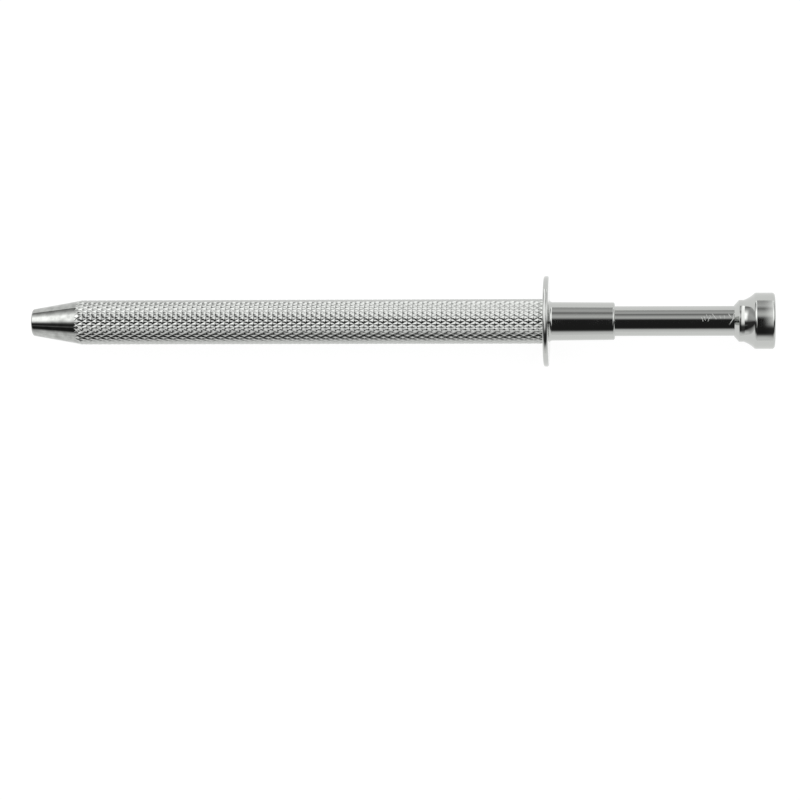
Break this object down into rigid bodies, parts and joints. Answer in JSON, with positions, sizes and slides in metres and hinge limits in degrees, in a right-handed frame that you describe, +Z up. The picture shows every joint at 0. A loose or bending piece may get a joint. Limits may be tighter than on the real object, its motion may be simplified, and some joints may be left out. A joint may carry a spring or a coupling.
{
  "type": "four-claw pick-up tool",
  "caption": "Slim knurled metal barrel with a coned nose, round finger flange, sleeve and flared thumb button that pushes hooked spring-wire claws out of the nose.",
  "frame": {"origin": "on the tool's axis, in the plane of the finger flange's front face, which faces the nose", "axes": "+X along the tool's axis from the nose to the thumb button; +Z up when the tool lies on a table; +Y to the left of +X seen from above"},
  "size_m": [0.1195, 0.0146, 0.0146],
  "materials": {
    "knurled_plate": "bright plate over diamond knurling",
    "bright_plate": "bright plate over polished metal, with fine scratches",
    "brass": "turned",
    "rod_steel": "drawn",
    "spring_wire": "drawn spring wire"
  },
  "bodies": {
    "barrel": {"barrel": "knurled_plate", "finger_flange": "bright_plate", "guide_sleeve": "bright_plate", "spring_seat": "brass", "return_spring": "spring_wire"},
    "plunger": {"plunger_tube": "bright_plate", "thumb_button": "bright_plate", "push_rod": "rod_steel", "stop_collar": "brass", "claw_ferrule": "brass", "claw_shanks": "spring_wire"},
    "claw_1": {"claw_1": "spring_wire"},
    "claw_2": {"claw_2": "spring_wire"},
    "claw_3": {"claw_3": "spring_wire"},
    "claw_4": {"claw_4": "spring_wire"}
  },
  "joints": [
    {"name": "plunger_slide", "type": "slide", "parent": "barrel", "child": "plunger", "axis": [-1, 0, 0], "range_m": [0, 0.016], "stiffness_N_per_m": 400, "springref_m": -0.005, "deforming": ["return_spring"]},
    {"name": "claw_1_flex", "type": "hinge", "parent": "plunger", "child": "claw_1", "pos_m": [-0.0705, 0.00032, 0.00032], "axis": [0, 0.7071, -0.7071], "range_deg": [0, 16.1]},
    {"name": "claw_2_flex", "type": "hinge", "parent": "plunger", "child": "claw_2", "pos_m": [-0.0705, -0.00032, 0.00032], "axis": [0, 0.7071, 0.7071], "range_deg": [0, 16.1]},
    {"name": "claw_3_flex", "type": "hinge", "parent": "plunger", "child": "claw_3", "pos_m": [-0.0705, -0.00032, -0.00032], "axis": [0, -0.7071, 0.7071], "range_deg": [0, 16.1]},
    {"name": "claw_4_flex", "type": "hinge", "parent": "plunger", "child": "claw_4", "pos_m": [-0.0705, 0.00032, -0.00032], "axis": [0, -0.7071, -0.7071], "range_deg": [0, 16.1]}
  ],
  "couplings": [
    {"joint": "claw_1_flex", "follows": "plunger_slide", "rad_per_m": 17.5},
    {"joint": "claw_2_flex", "follows": "plunger_slide", "rad_per_m": 17.5},
    {"joint": "claw_3_flex", "follows": "plunger_slide", "rad_per_m": 17.5},
    {"joint": "claw_4_flex", "follows": "plunger_slide", "rad_per_m": 17.5}
  ]
}
